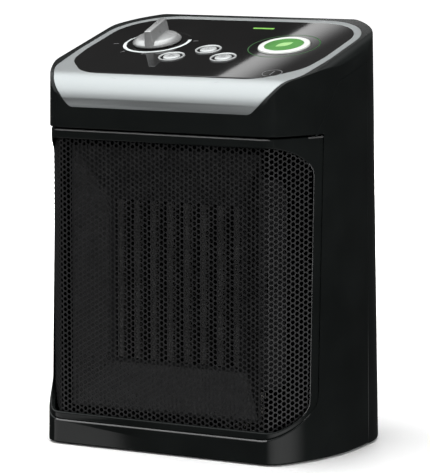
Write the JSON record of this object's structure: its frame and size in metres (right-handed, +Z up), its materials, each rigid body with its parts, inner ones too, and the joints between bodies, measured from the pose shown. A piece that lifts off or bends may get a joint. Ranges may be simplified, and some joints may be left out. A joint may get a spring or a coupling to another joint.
{
  "type": "ceramic fan heater",
  "caption": "Compact upright ceramic fan heater: glossy black housing, perforated front outlet grille, sloping top panel with thermostat knob, push buttons and silver trim.",
  "frame": {"origin": "centre of the footprint on the surface it stands on", "axes": "+Z up, front with the outlet grille towards -Y, +X to the right seen from the front"},
  "size_m": [0.208, 0.152, 0.2705],
  "materials": {
    "body_black": "high-gloss moulded ABS",
    "trim_silver": "satin silver lacquer on plastic",
    "panel_black": "polished black panel",
    "knob_silver": "satin silver lacquer",
    "button_silver": "satin silver lacquer",
    "eco_white": "white polished plastic",
    "eco_green": "green insert",
    "scale_white": "printed scale ring",
    "halo_green": "thin green line",
    "grille_black": "black enamelled perforated steel",
    "inner_black": "heat-resistant moulded plastic",
    "duct_grey": "dark heat-resistant plastic",
    "aluminium": "mill finish",
    "steel": "zinc-plated steel",
    "laminations": "stacked electrical steel",
    "copper_coil": "taped winding",
    "brass": "tinned brass",
    "board_green": "circuit board",
    "rubber": "moulded rubber",
    "filter_mesh": "woven nylon filter",
    "block_white": "natural nylon",
    "tin": "plated"
  },
  "bodies": {
    "housing": {"front_shell": "body_black", "rear_cover": "body_black", "head_cover": "body_black", "front_frame": "body_black", "silver_trim": "trim_silver", "control_panel": "panel_black", "dial_scale": "scale_white", "eco_halo": "halo_green", "button_bezels": "button_silver", "thermostat": "inner_black", "control_board": "board_green", "tact_switches": "inner_black", "board_screws": "steel", "front_grille": "grille_black", "base_plate": "inner_black", "rubber_feet": "rubber", "base_screws": "steel", "rear_screws": "steel", "dust_filter": "filter_mesh", "cord_gland": "rubber", "ceramic_bars": "aluminium", "fin_packs": "aluminium", "element_frame": "inner_black", "element_terminals": "brass", "thermal_cutout": "tin", "cutout_bracket": "steel", "heat_duct": "duct_grey", "fan_shroud": "inner_black", "motor_core": "laminations", "motor_coil": "copper_coil", "motor_brackets": "steel", "motor_screws": "steel", "terminal_block": "block_white", "tip_switch": "block_white"},
    "dial": {"control_knob": "knob_silver", "thermostat_shaft": "steel"},
    "left_key": {"left_button": "button_silver"},
    "middle_key": {"middle_button": "button_silver"},
    "right_key": {"right_button": "button_silver"},
    "eco_key": {"eco_button": "eco_white", "eco_lens": "eco_green"},
    "fan": {"fan_impeller": "inner_black", "motor_shaft": "steel", "motor_rotor": "laminations"},
    "tip_pin": {"tip_plunger": "inner_black"}
  },
  "joints": [
    {"name": "knob_turn", "type": "hinge", "parent": "housing", "child": "dial", "pos_m": [-0.0433, 0.00138, 0.25575], "axis": [0, -0.2419, 0.9703], "range_deg": [-120, 100]},
    {"name": "left_press", "type": "slide", "parent": "housing", "child": "left_key", "axis": [0, 0.2419, -0.9703], "range_m": [0, 0.0012], "stiffness_N_per_m": 700},
    {"name": "middle_press", "type": "slide", "parent": "housing", "child": "middle_key", "axis": [0, 0.2419, -0.9703], "range_m": [0, 0.0012], "stiffness_N_per_m": 700},
    {"name": "right_press", "type": "slide", "parent": "housing", "child": "right_key", "axis": [0, 0.2419, -0.9703], "range_m": [0, 0.0012], "stiffness_N_per_m": 700},
    {"name": "eco_press", "type": "slide", "parent": "housing", "child": "eco_key", "axis": [0, 0.2419, -0.9703], "range_m": [0, 0.0012], "stiffness_N_per_m": 700},
    {"name": "fan_spin", "type": "hinge", "parent": "housing", "child": "fan", "pos_m": [0, 0, 0.1065], "axis": [0, 1, 0], "continuous": true},
    {"name": "tip_pin_slide", "type": "slide", "parent": "housing", "child": "tip_pin", "axis": [0, 0, -1], "range_m": [0, 0.004], "stiffness_N_per_m": 60, "springref_m": 0.006}
  ]
}
